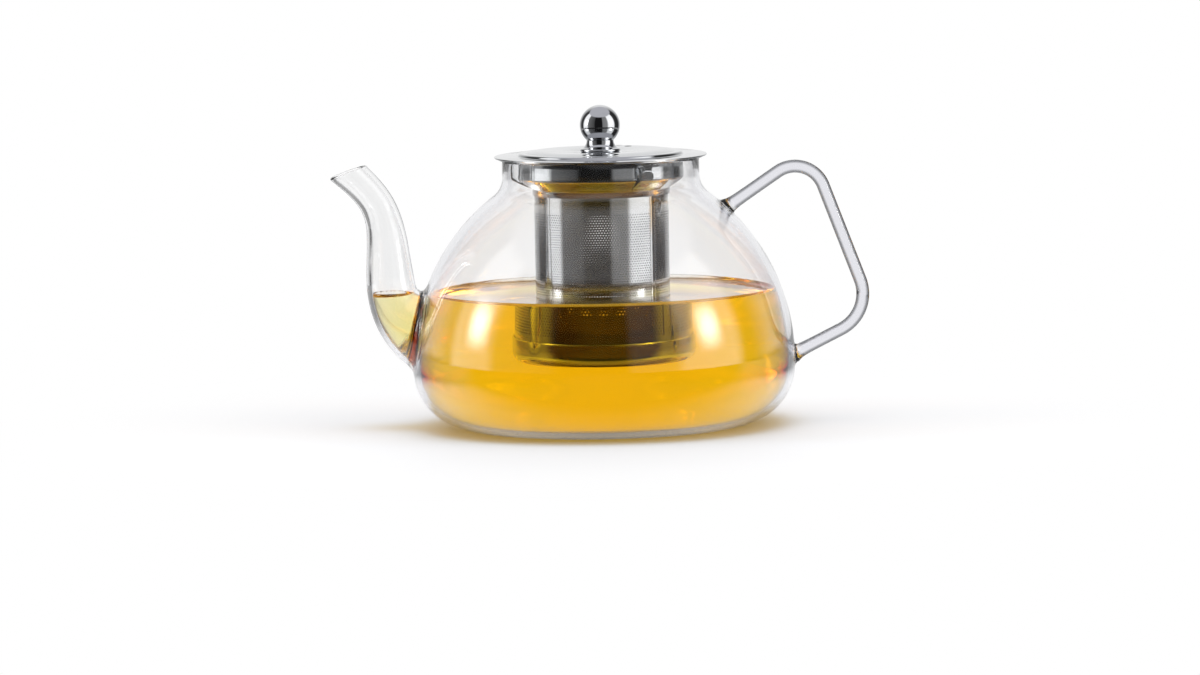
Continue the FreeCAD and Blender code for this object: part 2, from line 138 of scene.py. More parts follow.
def meshed(name, *shapes):
    """One mesh in metres of several shapes, each given as points and faces."""
    points, faces = [], []
    for shape_points, shape_faces in shapes:
        first = len(points)
        points += [Vector(point) * MM for point in shape_points]
        faces += [[first + corner for corner in face] for face in shape_faces]
    mesh = bpy.data.meshes.new(name)
    mesh.from_pydata(points, [], faces)
    return mesh


def finished(mesh, *modifiers):
    """The mesh that modifiers, given as (kind, settings), make of a mesh."""
    piece = bpy.data.objects.new(mesh.name, mesh)
    bpy.context.scene.collection.objects.link(piece)
    for kind, settings in modifiers:
        modifier = piece.modifiers.new(kind, kind)
        for setting, value in settings.items():
            setattr(modifier, setting, value)
    bpy.context.view_layer.update()
    result = bpy.data.meshes.new_from_object(piece.evaluated_get(bpy.context.evaluated_depsgraph_get()))
    bpy.data.objects.remove(piece)
    return result


def carved(mesh, other, operation):
    """A mesh joined with another, or with the other's space cut away. Faces keep their side's number."""
    for side, part in enumerate((mesh, other)):
        part.materials.clear()
        part.materials.append(None)
        part.materials.append(None)
        part.polygons.foreach_set("material_index", [side] * len(part.polygons))
    tool = bpy.data.objects.new("tool", other)
    bpy.context.scene.collection.objects.link(tool)
    result = finished(mesh, ("BOOLEAN", {"object": tool, "operation": operation, "solver": "MANIFOLD"}))
    bpy.data.objects.remove(tool)
    return result


def run_together(mesh, reach, rounds):
    """Eases the line where the two sides of a join meet, as glass flows in a flame weld."""
    weld = bmesh.new()
    weld.from_mesh(mesh)
    bmesh.ops.triangulate(weld, faces=weld.faces)
    weld.to_mesh(mesh)
    seam = [v.co.copy() for v in weld.verts if len({f.material_index for f in v.link_faces}) > 1]
    nearest = KDTree(len(seam))
    for number, place in enumerate(seam):
        nearest.insert(place, number)
    nearest.balance()
    ease = np.array([max(0.0, 1 - nearest.find(v.co)[2] / reach) for v in weld.verts])
    ease = 0.5 * ease * ease * (3 - 2 * ease)
    place = np.array([v.co for v in weld.verts])
    ends = np.array([[v.index for v in edge.verts] for edge in weld.edges])
    weld.free()
    links = np.bincount(ends.ravel(), minlength=len(place))
    for _ in range(rounds):
        for axis in range(3):
            total = np.bincount(ends[:, 0], place[ends[:, 1], axis], len(place))
            total += np.bincount(ends[:, 1], place[ends[:, 0], axis], len(place))
            place[:, axis] += ease * (total / links - place[:, axis])
    mesh.vertices.foreach_set("co", place.ravel())
    mesh.update()
    return mesh


def smooth_through(places, values, at):
    """A natural cubic curve through rows of values at places, read at other places."""
    gap = np.diff(places)
    balance, load = np.eye(len(places)), np.zeros(values.shape)
    for n in range(1, len(places) - 1):
        balance[n, n - 1:n + 2] = gap[n - 1], 2 * (gap[n - 1] + gap[n]), gap[n]
        load[n] = 6 * ((values[n + 1] - values[n]) / gap[n] - (values[n] - values[n - 1]) / gap[n - 1])
    bend = np.linalg.solve(balance, load)
    span = np.clip(np.searchsorted(places, at) - 1, 0, len(gap) - 1)
    width = gap[span][:, None]
    left, right = (places[span + 1] - at)[:, None], (at - places[span])[:, None]
    curve = (bend[span] * left**3 + bend[span + 1] * right**3) / (6 * width)
    curve += (values[span] / width - bend[span] * width / 6) * left
    return curve + (values[span + 1] / width - bend[span + 1] * width / 6) * right


def glass_skin(inset):
    """The pot's outline from the middle of its base to the neck, a distance inside the outer skin."""
    belly = (BELLY_RADIUS - BELLY_ARC, BELLY_HEIGHT)
    heel = (BELLY_RADIUS - BASE_CURVE, BASE_CURVE)
    span = BELLY_ARC + NECK_SWEEP
    lean = math.acos((NECK_RADIUS + NECK_SWEEP - belly[0]) / span)
    sweep = (NECK_RADIUS + NECK_SWEEP, BELLY_HEIGHT + span * math.sin(lean))
    lean = math.degrees(lean)
    outline = [(heel[0] * share, inset) for share in (0, 0.3, 0.6, 0.85)]
    outline += arc(heel, BASE_CURVE - inset, -90, 0, 28)
    outline += arc(belly, BELLY_ARC - inset, 0, lean, 72)
    return outline + arc(sweep, NECK_SWEEP + inset, 180 + lean, 180, 12)[1:]


def tube_ring(out, up, radius, tilt, sides=80):
    """A ring of points across the spout."""
    lean = math.radians(tilt)
    across = [(radius * math.cos(a), radius * math.sin(a)) for a in even_turns(sides)]
    return [(out + u * math.cos(lean), v, up + u * math.sin(lean)) for u, v in across]


def spout_tube(inset, lip, lip_turn, past):
    """The spout's skin, inset from its outer one, its lip turned in or out and run on past the mouth."""
    stations = np.array(SPOUT_STATIONS)
    lengths = np.hypot(*np.diff(stations[:, :2], axis=0).T)
    places = np.concatenate(([0.0], np.cumsum(lengths)))
    curve = smooth_through(places, stations, np.linspace(0, places[-1] - abs(lip), 120))
    rings = [tube_ring(out, up, radius - inset, tilt) for out, up, radius, tilt in curve]
    out, up, radius, tilt = curve[-1]
    ahead = (-math.sin(math.radians(tilt)), math.cos(math.radians(tilt)))
    ends = [(abs(lip) * math.sin(a), lip * (1 - math.cos(a))) for a in np.linspace(0, lip_turn, 9)[1:]]
    if past:
        ends.append((abs(lip) + past, ends[-1][1]))
    for reach, change in ends:
        place = (out + ahead[0] * reach, up + ahead[1] * reach)
        rings.append(tube_ring(*place, radius - inset + change, tilt))
    return lofted(rings)


def handle_rod(bury, swell, spread, sides=36):
    """The bent rod, run into the pot's wall at both ends and thickened where it is welded."""
    path = [Vector(point) for point in rounded(HANDLE_BENDS, 40)]
    path.insert(0, path[0] + (path[0] - path[1]).normalized() * bury)
    path.append(path[-1] + (path[-1] - path[-2]).normalized() * bury)
    places = np.concatenate(([0.0], np.cumsum([(b - a).length for a, b in zip(path, path[1:])])))
    at = np.linspace(0, places[-1], 300)
    line = np.array([np.interp(at, places, [point[axis] for point in path]) for axis in (0, 1)]).T
    ways = np.gradient(line, axis=0)
    rings = []
    for place, (out, up), (run, rise) in zip(at, line, ways):
        from_weld = max(0.0, min(place, places[-1] - place) - bury)
        radius = ROD_RADIUS + swell * math.exp(-from_weld / spread)
        tilt = math.degrees(math.atan2(-run, rise))
        rings.append(tube_ring(out, up, radius, tilt, sides))
    return lofted(rings)


# Columns stand closer together towards the spout and the handle, where the welds are.
crowding = 0.35
pot_columns = [a - crowding * math.sin(2 * a) for a in even_turns(256)]
neck_bore = NECK_RADIUS - GLASS_WALL
rim_low = RIM_HEIGHT - RIM_ROUND
outer_outline = glass_skin(0) + arc((NECK_RADIUS - RIM_ROUND, rim_low), RIM_ROUND, 0, 90, 6)
outer_outline += [(NECK_RADIUS / 2, RIM_HEIGHT), (0, RIM_HEIGHT)]
inner_outline = glass_skin(GLASS_WALL) + arc((neck_bore + RIM_ROUND, rim_low), RIM_ROUND, 180, 100, 6)
inner_outline += [(inner_outline[-1][0], RIM_HEIGHT + PAST_RIM), (0, RIM_HEIGHT + PAST_RIM)]

glass_outside = meshed("glass_outside", turned(outer_outline, pot_columns))
spout_outside = spout_tube(inset=0, lip=-SPOUT_WALL / 2, lip_turn=math.pi / 2, past=0)
spout_skin = meshed("spout_skin", spout_outside)
handle_skin = meshed("handle_skin", handle_rod(bury=3.2, swell=1.1, spread=1.8))
glass_outside = run_together(carved(glass_outside, spout_skin, "UNION"), reach=4.5 * MM, rounds=40)
glass_outside = run_together(carved(glass_outside, handle_skin, "UNION"), reach=1.6 * MM, rounds=10)
pot_cavity = meshed("pot_cavity", turned(inner_outline, pot_columns))
bore_lip = SPOUT_WALL / 2 - LIP_FLAT
spout_inside = spout_tube(inset=SPOUT_WALL, lip=bore_lip, lip_turn=math.radians(80), past=3)
spout_bore = meshed("spout_bore", spout_inside)
pot_cavity = run_together(carved(pot_cavity, spout_bore, "UNION"), reach=3.5 * MM, rounds=30)
glass_mesh = carved(glass_outside, pot_cavity.copy(), "DIFFERENCE")
glass_mesh.name = "glass_pot"


class Value:
    """A node's output, on which plain arithmetic adds Math nodes."""

    def __init__(self, tree, socket):
        self.tree, self.socket = tree, socket

    def maths(self, operation, first, second):
        return self.tree.node("ShaderNodeMath", {"operation": operation}, {0: first, 1: second})

    def __add__(self, other):
        return self.maths("ADD", self, other)

    def __sub__(self, other):
        return self.maths("SUBTRACT", self, other)

    def __rsub__(self, other):
        return self.maths("SUBTRACT", other, self)

    def __mul__(self, other):
        return self.maths("MULTIPLY", self, other)

    def __truediv__(self, other):
        return self.maths("DIVIDE", self, other)

    def __mod__(self, other):
        return self.maths("MODULO", self, other)

    def __pow__(self, other):
        return self.maths("POWER", self, other)

    __radd__, __rmul__ = __add__, __mul__


class Tree:
    """A node tree in which one method adds any node: its settings first, then its sockets."""

    def __init__(self, nodes):
        self.nodes = nodes

    def node(self, kind, settings=None, sockets=None, output=0):
        made = self.nodes.nodes.new(kind)
        for name, value in (settings or {}).items():
            if name == "stops":
                stops = made.color_ramp.elements
                while len(stops) < len(value):
                    stops.new(1.0)
                for stop, (place, shade) in zip(stops, value):
                    stop.position, stop.color = place, (*shade, 1.0)
            else:
                setattr(made, name, value)
        for name, value in (sockets or {}).items():
            if isinstance(value, Value):
                self.nodes.links.new(value.socket, made.inputs[name])
            else:
                made.inputs[name].default_value = value
        return Value(self, made.outputs[output]) if made.outputs else None

    def parts(self, vector):
        """The three numbers of a vector."""
        split = self.node("ShaderNodeSeparateXYZ", sockets={"Vector": vector})
        return [Value(self, socket) for socket in split.socket.node.outputs]

    def between(self, value, low, high):
        """Where a value goes from low to high, as a smooth step from 0 to 1."""
        sockets = {"Value": value, "From Min": low, "From Max": high}
        return self.node("ShaderNodeMapRange", {"interpolation_type": "SMOOTHSTEP"}, sockets)

    def blend(self, share, first, second):
        """A colour between two colours."""
        return self.node("ShaderNodeMix", {"data_type": "RGBA"}, {0: share, 6: first, 7: second}, 2)

    def mixed(self, share, first, second):
        """A shader between two shaders."""
        return self.node("ShaderNodeMixShader", sockets={0: share, 1: first, 2: second})


class Finish(Tree):
    """A material, with its Object coordinates at hand and the patterns that several finishes use."""

    def __init__(self, name):
        self.material = bpy.data.materials.new(name)
        self.material.use_nodes = True
        super().__init__(self.material.node_tree)
        self.nodes.nodes.clear()
        self.place = self.node("ShaderNodeTexCoord", output="Object")

    def noise(self, scale, detail=2.0, place=None, distortion=0.0):
        """Even noise from about 0 to 1, in blotches of one part in scale of a metre."""
        sockets = {"Vector": place or self.place, "Scale": scale, "Detail": detail}
        sockets["Distortion"] = distortion
        return self.node("ShaderNodeTexNoise", sockets=sockets)

    def bump(self, height, strength, distance):
        """The surface's direction with a fine relief on it."""
        sockets = {"Height": height, "Strength": strength, "Distance": distance}
        return self.node("ShaderNodeBump", sockets=sockets)

    def shine_through(self, shader, shade):
        """A clear shader that lets lamplight through, tinted, instead of casting a dark shadow."""
        lamp = self.node("ShaderNodeLightPath", output="Is Shadow Ray")
        clear = self.node("ShaderNodeBsdfTransparent", sockets={"Color": shade})
        return self.mixed(lamp, shader, clear)

    def done(self, **shaders):
        """Ends the material in its surface and, for what is clear, its volume."""
        self.node("ShaderNodeOutputMaterial", sockets=shaders)


def show(name, mesh, finish, body, slot, *nodes, crease=None):
    """Puts a finished piece in the scene, on the body that it moves with and in place of its solids."""
    piece = bpy.data.objects.new(name, mesh)
    bpy.context.scene.collection.objects.link(piece)
    mesh.materials.clear()
    mesh.materials.append(finish.material)
    mesh.polygons.foreach_set("material_index", [0] * len(mesh.polygons))
    mesh.polygons.foreach_set("use_smooth", [True] * len(mesh.polygons))
    if crease:
        mesh.set_sharp_from_angle(angle=math.radians(crease))
    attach(piece, body)
    if nodes:
        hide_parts(*nodes)
    return piece


clear_glass = Finish("clear_blown_glass")
waves = clear_glass.noise(45.0, 1.0) + 0.25 * clear_glass.noise(160.0, 1.0)
flow = clear_glass.bump(waves, strength=0.35, distance=0.00012)
water_marks = clear_glass.between(clear_glass.noise(28.0, 4.0), 0.52, 0.75)
# Painted shade: where the glass is seen edge-on it is tinted grey-blue, in place of the dark room that
# it would show there.
clear_wall, edge_painted_shade, rod_painted_dark = [clear_glass.node("ShaderNodeBsdfPrincipled", sockets={
    "Base Color": clear_glass.blend(water_marks, dry, marked),
    "Roughness": water_marks * 0.012,
    "IOR": 1.47,
    "Transmission Weight": 1.0,
    "Normal": flow,
}) for dry, marked in (
    ((1.0, 1.0, 1.0, 1.0), (0.985, 0.99, 0.995, 1.0)),
    # grey-blue painted shade for the edge-on glass
    ((0.86, 0.86, 0.905, 1.0), (0.85, 0.85, 0.9, 1.0)),
    # dark grey painted shade for the edges of the rod
    ((0.15, 0.155, 0.165, 1.0), (0.17, 0.175, 0.185, 1.0)),
)]
# The rod is told from the pot by standing clear of the belly's arc, on the handle's side.
x, y, z = clear_glass.parts(clear_glass.place)
from_arc = ((x - (BELLY_RADIUS - BELLY_ARC) * MM) ** 2 + y * y + (z - BELLY_HEIGHT * MM) ** 2) ** 0.5
on_rod = clear_glass.between(from_arc, *((BELLY_ARC + clear) * MM for clear in ROD_CLEAR))
on_rod = on_rod * clear_glass.between(x, *(near * MM for near in ROD_NEAREST))
facing = clear_glass.node("ShaderNodeLayerWeight", sockets={"Blend": 0.5}, output="Facing")
rim = clear_glass.between(facing, 0.55, 0.85)
edge_shade_share = rim + on_rod - rim * on_rod
# Painted shade: the rod's edge-on faces are drawn dark grey.
rod_dark_share = on_rod * clear_glass.between(facing, 0.04, 0.3)
glass_shader = clear_glass.mixed(rod_dark_share, clear_glass.mixed(edge_shade_share, clear_wall, edge_painted_shade), rod_painted_dark)
clear_glass.done(
    Surface=clear_glass.shine_through(glass_shader, (0.95, 0.955, 0.96, 1.0)),
    Volume=clear_glass.node("ShaderNodeVolumeAbsorption", sockets={
        "Color": (0.55, 0.6, 0.66, 1.0),
        "Density": 9.0,
    }),
)
show("glass_pot", glass_mesh, clear_glass, "pot", "clear_glass",
     "glass_body", "glass_spout", "glass_handle")


# Tea: a clear amber brew that stands at the same level in the pot, the infuser and the spout.
# It wets the glass, so its surface climbs a little at the wall. A hair of room is left to the glass,
# so that the wall shows as a clear band round the tea.
TEA_LEVEL = 51.0
TEA_ROOM = 0.2
TEA_CLIMB_HEIGHT = 1.7
TEA_CLIMB = [
    # way in from the wall, and share of the climb that is left there
    (0.2, 0.95), (0.5, 0.62), (1.0, 0.36), (1.7, 0.18), (2.6, 0.06), (3.6, 0.0),
]
# depth under the surface over which the painted dark rim fades in
TEA_RIM_DEPTH = 1.5


def poured(cavity):
    """The space of a cavity up to the tea's level, closed by a surface that climbs at the wall."""
    tea = bmesh.new()
    tea.from_mesh(cavity)
    tea.normal_update()
    for vertex in tea.verts:
        vertex.co -= vertex.normal * TEA_ROOM * MM
    wall_line = (0, 0, (TEA_LEVEL + TEA_CLIMB_HEIGHT) * MM)
    every = tea.verts[:] + tea.edges[:] + tea.faces[:]
    bmesh.ops.bisect_plane(tea, geom=every, plane_co=wall_line, plane_no=(0, 0, 1), clear_outer=True)
    edges = [edge for edge in tea.edges if edge.is_boundary]
    while edges:
        ring = list(edges[0].verts)
        if edges[0].link_loops[0].vert != ring[1]:
            ring.reverse()
        while True:
            onward = [e for e in ring[-1].link_edges if e.is_boundary and ring[-2] not in e.verts]
            following = onward[0].other_vert(ring[-1])
            if following == ring[0]:
                break
            ring.append(following)
        rim = set(ring)
        edges = [edge for edge in edges if edge.verts[0] not in rim]
        centre = sum((vertex.co for vertex in ring), Vector()) / len(ring)
        start = ring
        for inset, height in TEA_CLIMB:
            inner = []
            for vertex in start:
                place = vertex.co + (centre - vertex.co).normalized() * inset * MM
                place.z = (TEA_LEVEL + TEA_CLIMB_HEIGHT * height) * MM
                inner.append(tea.verts.new(place))
            for n in range(len(ring)):
                tea.faces.new((ring[n - 1], ring[n], inner[n], inner[n - 1]))
            ring = inner
        centre.z = TEA_LEVEL * MM
        middle = tea.verts.new(centre)
        for n in range(len(ring)):
            tea.faces.new((ring[n - 1], ring[n], middle))
    bmesh.ops.recalc_face_normals(tea, faces=tea.faces)
    mesh = bpy.data.meshes.new("tea")
    tea.to_mesh(mesh)
    tea.free()
    return mesh


amber_tea = Finish("amber_tea")
cloud = amber_tea.noise(38.0, 2.0)
# The second shader is painted shade: dark brown, shown where the tea is seen edge-on under its surface.
brew, painted_dark_rim = [amber_tea.node("ShaderNodeBsdfPrincipled", sockets={
    "Base Color": amber_tea.blend(cloud, thin, strong),
    "Roughness": cloud * 0.004,
    "IOR": 1.333,
    "Transmission Weight": 1.0,
}) for thin, strong in (
    ((1.0, 0.995, 0.98, 1.0), (1.0, 0.985, 0.95, 1.0)),
    ((0.3, 0.19, 0.09, 1.0), (0.26, 0.16, 0.07, 1.0)),
)]
height = amber_tea.parts(amber_tea.place)[2]
facing = amber_tea.node("ShaderNodeLayerWeight", sockets={"Blend": 0.5}, output="Facing")
below = amber_tea.between(height, TEA_LEVEL * MM, (TEA_LEVEL - TEA_RIM_DEPTH) * MM)
tea_shader = amber_tea.mixed(amber_tea.between(facing, 0.82, 0.95) * below, brew, painted_dark_rim)
amber_tea.done(
    Surface=amber_tea.shine_through(tea_shader, (0.97, 0.82, 0.45, 1.0)),
    Volume=amber_tea.node("ShaderNodeVolumeAbsorption", sockets={
        "Color": (0.999, 0.892, 0.06, 1.0),
        "Density": 45.0,
    }),
)
show("tea", poured(pot_cavity), amber_tea, "pot", None)


# Infuser collar: a cup drawn from steel sheet, hung by its flange on the glass rim.
# Three tongues are cut out of its wall and sprung outwards, to hold it steady in the neck.
COLLAR_SHEET, EDGE_ROUND = 0.6, 0.12
COLLAR_RADIUS, LIP_RADIUS, FLANGE_RADIUS = 32.1, 26.55, 39.5
WINDOW_LOW, WINDOW_TOP, WINDOW_HALF_WIDTH = 92.1, 100.6, 3.1
COLLAR_OUTLINE = [
    (LIP_RADIUS, 88.22, 0.0),
    (LIP_RADIUS, 91.22, 0.8),
    (27.61, WINDOW_LOW, 0.0),
    (COLLAR_RADIUS, 95.82, 1.2),
    (COLLAR_RADIUS, WINDOW_TOP, 0.0),
    (COLLAR_RADIUS, RIM_HEIGHT, 0.6),
    (FLANGE_RADIUS, RIM_HEIGHT, 0.0),
]
TONGUE_TURNS = [math.radians(turn) for turn in (60, 180, 300)]
TONGUE_OUTLINE = [(26.9, 91.55, 0.0), (34.5, 95.82, 1.6), (35.1, 100.0, 0.0)]
TONGUE_HALF_WIDTH, TONGUE_TIP = 2.6, 1.6


def collar_columns(half_window):
    """Angles round the collar, with a column at each side of every window."""
    columns = []
    across, between = 4, 56
    for turn in TONGUE_TURNS:
        columns += [turn + half_window * n / across for n in range(-across, across)]
        free = math.tau / len(TONGUE_TURNS) - 2 * half_window
        columns += [turn + half_window + free * n / between for n in range(between)]
    return columns


def collar_sheet():
    """The collar's outer skin, with the windows left open."""
    half_window = math.asin(WINDOW_HALF_WIDTH / COLLAR_RADIUS)
    points, faces = turned(rounded(COLLAR_OUTLINE), collar_columns(half_window))

    def in_window(face):
        middle = sum((Vector(points[corner]) for corner in face), Vector()) / len(face)
        around = math.atan2(middle.y, middle.x)
        beside = min(abs((around - turn + math.pi) % math.tau - math.pi) for turn in TONGUE_TURNS)
        return beside < half_window and WINDOW_LOW < middle.z < WINDOW_TOP

    return points, [face for face in faces if not in_window(face)]


def tongue(turn):
    """A bent strip with a rounded tip, standing out from the collar at one turn round the axis."""
    outline = rounded(TONGUE_OUTLINE, 8)
    along, across = 6, 6
    run = []
    for (out_a, up_a), (out_b, up_b) in zip(outline, outline[1:]):
        run += [(out_a + (out_b - out_a) * n / along, up_a + (up_b - up_a) * n / along)
                for n in range(along)]
    run.append(outline[-1])
    left = [0.0]
    for a, b in zip(run[::-1], run[-2::-1]):
        left.append(left[-1] + math.dist(a, b))
    left.reverse()
    points, faces = [], []
    for (out, up), tip in zip(run, left):
        short = max(0.0, TONGUE_TIP - tip)
        half = TONGUE_HALF_WIDTH - TONGUE_TIP + math.sqrt(TONGUE_TIP**2 - short**2)
        for n in range(across + 1):
            aside = half * (2 * n / across - 1)
            points.append((
                out * math.cos(turn) - aside * math.sin(turn),
                out * math.sin(turn) + aside * math.cos(turn),
                up,
            ))
    for row in range(len(run) - 1):
        for n in range(across):
            corner = row * (across + 1) + n
            faces.append((corner, corner + 1, corner + across + 2, corner + across + 1))
    return points, faces


def ringed(finish, fine, lines):
    """Fine lines round the axis, as a die or a lathe leaves them, with faint breaks along them."""
    x, y, z = finish.parts(finish.place)
    out = (x * x + y * y) ** 0.5
    along = finish.node("ShaderNodeCombineXYZ", sockets={"X": out, "Y": 0.012 * (x + y), "Z": z})
    return finish.noise(fine, lines, along)


drawn_steel = Finish("bright_drawn_steel")
lines = ringed(drawn_steel, 2600.0, 3.0)
smear = drawn_steel.between(drawn_steel.noise(55.0, 4.0), 0.42, 0.72)
specks = drawn_steel.between(drawn_steel.noise(900.0, 1.0), 0.7, 0.78)
drawn_steel.done(Surface=drawn_steel.node("ShaderNodeBsdfPrincipled", sockets={
    "Base Color": drawn_steel.blend(smear, (0.66, 0.675, 0.69, 1.0), (0.6, 0.61, 0.62, 1.0)),
    "Metallic": 1.0,
    "Roughness": 0.05 + 0.04 * lines + 0.04 * smear + 0.05 * specks,
    "Normal": drawn_steel.bump(lines, 0.12, 0.00002),
}))
sheet_wall = ("SOLIDIFY", {"thickness": COLLAR_SHEET * MM, "offset": -1.0, "use_even_offset": True})
sheet_edge = ("BEVEL", {
    "width": EDGE_ROUND * MM,
    "segments": 2,
    "limit_method": "ANGLE",
    "angle_limit": math.radians(60),
})
collar_mesh = meshed("collar", collar_sheet(), *(tongue(turn) for turn in TONGUE_TURNS))
collar_mesh = finished(collar_mesh, sheet_wall, sheet_edge)
show("collar", collar_mesh, drawn_steel, "infuser", "drawn_steel", "infuser_collar", crease=32)


# Infuser sieve: thin steel sheet, punched with staggered rows of fine holes, rolled into a tube
# and welded along a lap. A plain band is left at each end, for the collar's lip and the base cup.
SIEVE_RADIUS, SIEVE_SHEET = 25.9, 0.5
SIEVE_LOW, SIEVE_TOP = 28.0, 91.22
HOLE_ROWS, HOLE_COLUMNS = 26, 152
HOLE_RADIUS, ROW_PITCH = 0.26, 0.93
HOLES_LOW = 34.5
HOLES_MIDDLE = HOLES_LOW + HOLE_ROWS * ROW_PITCH
HOLES_TOP = HOLES_MIDDLE + HOLE_ROWS * ROW_PITCH
SEAM_TURN, SEAM_HALF_WIDTH = math.radians(-41.5), 1.1
SEAM_PROUD, SEAM_SHORT = 0.1, 0.4
HEAT_WIDTH, HEAT_HEIGHT = (3.4, 1.2), (74.0, 88.0)
TOUCHING = 0.01


def hole_cell(column_pitch):
    """One hole with its share of the sheet: a wall through the sheet, and a skin on each side."""
    half, tall = column_pitch / 2, ROW_PITCH / 2
    edge = [(half, -tall), (half, tall), (0, tall), (-half, tall), (-half, -tall), (0, -tall)]
    hole = [(HOLE_RADIUS * math.cos(math.radians(a)), HOLE_RADIUS * math.sin(math.radians(a)))
            for a in range(-30, 330, 60)]
    points = [(x, depth, z) for depth in (0, SIEVE_SHEET) for loop in (edge, hole) for x, z in loop]
    sides = len(hole)
    front_edge, front_hole, back_edge, back_hole = np.arange(len(points)).reshape(-1, sides).tolist()
    faces = []
    for n in range(sides):
        m = (n + 1) % sides
        for a, b in ((front_edge, front_hole), (back_hole, back_edge), (front_hole, back_hole)):
            faces.append((a[n], a[m], b[m], b[n]))
    return points, faces


def hole_tree():
    """The node tree that sets cells in staggered rows and wraps them round the axis."""
    nodes = bpy.data.node_groups.new("punched_rows", "GeometryNodeTree")
    sizes = {"Columns": "Int", "Rows": "Int", "Column Pitch": "Float", "Row Pitch": "Float",
             "Low": "Float", "Radius": "Float"}
    nodes.interface.new_socket("Cell", in_out="INPUT", socket_type="NodeSocketGeometry")
    for name, kind in sizes.items():
        nodes.interface.new_socket(name, in_out="INPUT", socket_type=f"NodeSocket{kind}")
    nodes.interface.new_socket("Finish", in_out="INPUT", socket_type="NodeSocketMaterial")
    nodes.interface.new_socket("Sheet", in_out="OUTPUT", socket_type="NodeSocketGeometry")
    rows = Tree(nodes)
    given = {name: rows.node("NodeGroupInput", output=name) for name in ("Cell", *sizes, "Finish")}
    number = rows.node("GeometryNodeInputIndex")
    row = rows.node("ShaderNodeMath", {"operation": "FLOOR"}, {0: (number + 0.5) / given["Columns"]})
    column = number - row * given["Columns"]
    along = (column + 0.5 * (row % 2)) * given["Column Pitch"]
    up = given["Low"] + (row + 0.5) * given["Row Pitch"]
    spots = rows.node("GeometryNodePoints", sockets={
        "Count": given["Columns"] * given["Rows"],
        "Position": rows.node("ShaderNodeCombineXYZ", sockets={"X": along, "Z": up}),
    })
    cells = {"Points": spots, "Instance": given["Cell"]}
    cells = rows.node("GeometryNodeInstanceOnPoints", sockets=cells)
    sheet = rows.node("GeometryNodeRealizeInstances", sockets={"Geometry": cells})
    along, depth, up = rows.parts(rows.node("GeometryNodeInputPosition"))
    around, out = along / given["Radius"], given["Radius"] - depth
    rolled = rows.node("ShaderNodeCombineXYZ", sockets={
        "X": out * rows.node("ShaderNodeMath", {"operation": "COSINE"}, {0: around}),
        "Y": out * rows.node("ShaderNodeMath", {"operation": "SINE"}, {0: around}),
        "Z": up,
    })
    sheet = rows.node("GeometryNodeSetPosition", sockets={"Geometry": sheet, "Position": rolled})
    merged = {"Geometry": sheet, "Distance": TOUCHING * MM}
    sheet = rows.node("GeometryNodeMergeByDistance", sockets=merged)
    dressed = {"Geometry": sheet, "Material": given["Finish"]}
    sheet = rows.node("GeometryNodeSetMaterial", sockets=dressed)
    rows.node("NodeGroupOutput", sockets={"Sheet": sheet})
    return nodes


def punched(low, finish):
    """The mesh of one half of the punched sheet."""
    column_pitch = math.tau * SIEVE_RADIUS / HOLE_COLUMNS
    piece = bpy.data.objects.new("punched", meshed("punched", hole_cell(column_pitch)))
    bpy.context.scene.collection.objects.link(piece)
    modifier = piece.modifiers.new("rows", "NODES")
    modifier.node_group = hole_tree()
    sizes = {"Columns": HOLE_COLUMNS, "Rows": HOLE_ROWS, "Column Pitch": column_pitch * MM,
             "Row Pitch": ROW_PITCH * MM, "Low": low * MM, "Radius": SIEVE_RADIUS * MM,
             "Finish": finish.material}
    for socket in modifier.node_group.interface.items_tree:
        if socket.name in sizes:
            modifier[socket.identifier] = sizes[socket.name]
    bpy.context.view_layer.update()
    mesh = bpy.data.meshes.new_from_object(piece.evaluated_get(bpy.context.evaluated_depsgraph_get()))
    bpy.data.objects.remove(piece)
    return mesh


def seam_strip(low, top):
    """The welded lap, a flat strip that stands just proud of both sides of the tube."""
    half = SEAM_HALF_WIDTH / SIEVE_RADIUS
    around = [SEAM_TURN + half * n / 4 for n in range(-4, 5)]
    proud = [0.0, *[SEAM_PROUD] * (len(around) - 2), 0.0]
    outside = [(SIEVE_RADIUS + more, a) for more, a in zip(proud, around)]
    inside = [(SIEVE_RADIUS - SIEVE_SHEET - more, a) for more, a in zip(proud, around)]
    loop = outside + inside[::-1]
    heights = np.linspace(low, top, 5)
    return lofted([[(out * math.cos(a), out * math.sin(a), up) for out, a in loop] for up in heights])


def joined(name, *meshes):
    """Several meshes as one, with the points that touch merged."""
    whole = bmesh.new()
    for mesh in meshes:
        whole.from_mesh(mesh)
    bmesh.ops.remove_doubles(whole, verts=whole.verts, dist=TOUCHING * MM)
    mesh = bpy.data.meshes.new(name)
    whole.to_mesh(mesh)
    whole.free()
    return mesh


